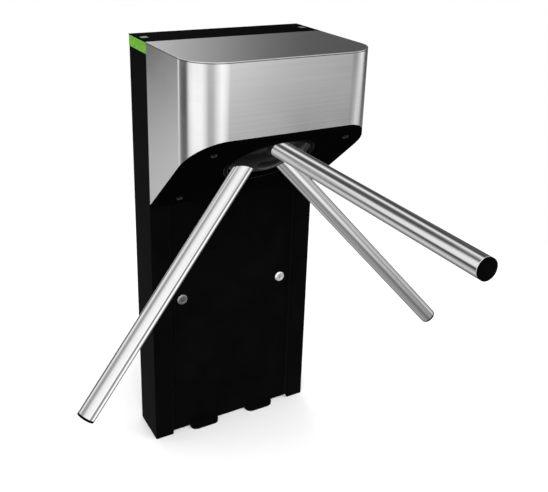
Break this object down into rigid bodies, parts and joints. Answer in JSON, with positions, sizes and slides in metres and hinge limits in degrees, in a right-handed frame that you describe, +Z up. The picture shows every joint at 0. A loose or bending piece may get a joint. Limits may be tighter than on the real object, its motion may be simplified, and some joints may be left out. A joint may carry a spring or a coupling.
{
  "type": "tripod turnstile",
  "caption": "Floor-standing tripod turnstile: slim black column, stainless sloped cover and a hub with tubular arms that turns about a tilted axis.",
  "frame": {"origin": "on the floor under the middle of the column, the centre of the anchor holes", "axes": "+Z up, -Y to the side the arms point to, +X to the right of someone facing the arms"},
  "size_m": [0.909, 0.9, 1],
  "materials": {
    "floor_steel": "semi-gloss black",
    "column_paint": "semi-gloss black",
    "panel_paint": "semi-gloss black",
    "underside_paint": "semi-gloss black",
    "ring_black": "gloss",
    "cap_plastic": "satin",
    "lens": "translucent green",
    "board": "solder mask",
    "lock_chrome": "polished",
    "zinc": "zinc plated",
    "screw_black": "black oxide",
    "zinc_sheet": "zinc plated sheet",
    "cover_steel": "satin stainless",
    "cover_top_steel": "satin stainless",
    "machined_steel": "machined",
    "cast_housing": "cast",
    "gear_brass": "machined",
    "housing_black": "satin",
    "hub_black": "gloss black on cast aluminium",
    "arm_steel": "brushed stainless",
    "arm_cap_black": "satin"
  },
  "bodies": {
    "frame": {"base_plate": "floor_steel", "column_shell": "column_paint", "column_cap": "cap_plastic", "light_lens_left": "lens", "light_lens_right": "lens", "led_board_left": "board", "led_board_right": "board", "front_panel": "panel_paint", "lock_body_left": "lock_chrome", "lock_body_right": "lock_chrome", "lock_nuts": "zinc", "cover_shell": "cover_steel", "cover_top": "cover_top_steel", "underside_panel": "underside_paint", "hub_ring": "ring_black", "underside_screws": "screw_black", "panel_spacers": "zinc", "cheek_left": "zinc_sheet", "cheek_right": "zinc_sheet", "frame_bolts": "zinc", "mechanism_plate": "zinc_sheet", "bearing_housing": "cast_housing", "bearing_front": "machined_steel", "bearing_rear": "machined_steel", "bearing_cover": "machined_steel", "damper_body": "housing_black", "solenoid_left": "housing_black", "solenoid_right": "housing_black", "pawl_pins": "machined_steel", "encoder_sensor": "housing_black", "control_board": "board", "board_standoffs": "zinc", "power_supply": "cast_housing"},
    "tripod": {"main_shaft": "machined_steel", "hub": "hub_black", "hub_nut": "zinc", "hub_cap": "hub_black", "arm_front": "arm_steel", "arm_left": "arm_steel", "arm_right": "arm_steel", "arm_cap_front": "arm_cap_black", "arm_cap_left": "arm_cap_black", "arm_cap_right": "arm_cap_black", "arm_screws": "zinc", "bearing_inner_rings": "machined_steel", "bearing_spacer": "machined_steel", "index_disc": "machined_steel", "damper_gear": "gear_brass", "encoder_disc": "housing_black", "shaft_nut": "zinc"},
    "damper": {"damper_pinion": "gear_brass"},
    "pawl_left": {"pawl_left": "machined_steel"},
    "pawl_right": {"pawl_right": "machined_steel"},
    "plunger_left": {"plunger_left": "machined_steel"},
    "plunger_right": {"plunger_right": "machined_steel"},
    "lock_left": {"lock_core_left": "lock_chrome", "lock_cam_left": "zinc"},
    "lock_right": {"lock_core_right": "lock_chrome", "lock_cam_right": "zinc"}
  },
  "joints": [
    {"name": "hub_turn", "type": "hinge", "parent": "frame", "child": "tripod", "pos_m": [0, -0.173, 0.8], "axis": [0, -0.6561, -0.7547], "continuous": true},
    {"name": "damper_turn", "type": "hinge", "parent": "frame", "child": "damper", "pos_m": [0, -0.15122, 0.7153], "axis": [0, -0.6561, -0.7547], "continuous": true},
    {"name": "pawl_left_swing", "type": "hinge", "parent": "frame", "child": "pawl_left", "pos_m": [-0.08363, -0.23187, 0.78541], "axis": [0, 0.6561, 0.7547], "range_deg": [0, 9], "stiffness_Nm_per_rad": 0.4, "springref_deg": -22.92},
    {"name": "pawl_right_swing", "type": "hinge", "parent": "frame", "child": "pawl_right", "pos_m": [0.08363, -0.23187, 0.78541], "axis": [0, -0.6561, -0.7547], "range_deg": [0, 9], "stiffness_Nm_per_rad": 0.4, "springref_deg": -22.92},
    {"name": "plunger_left_slide", "type": "slide", "parent": "frame", "child": "plunger_left", "axis": [-0.5, -0.6536, 0.5682], "range_m": [0, 0.0054]},
    {"name": "plunger_right_slide", "type": "slide", "parent": "frame", "child": "plunger_right", "axis": [0.5, -0.6536, 0.5682], "range_m": [0, 0.0054]},
    {"name": "lock_left_turn", "type": "hinge", "parent": "frame", "child": "lock_left", "pos_m": [-0.134, -0.042, 0.375], "axis": [0, 1, 0], "range_deg": [0, 90]},
    {"name": "lock_right_turn", "type": "hinge", "parent": "frame", "child": "lock_right", "pos_m": [0.134, -0.042, 0.375], "axis": [0, -1, 0], "range_deg": [0, 90]}
  ],
  "couplings": [
    {"joint": "damper_turn", "follows": "hub_turn", "ratio": -3},
    {"joint": "plunger_left_slide", "follows": "pawl_left_swing", "m_per_rad": 0.03386},
    {"joint": "plunger_right_slide", "follows": "pawl_right_swing", "m_per_rad": 0.03386}
  ]
}
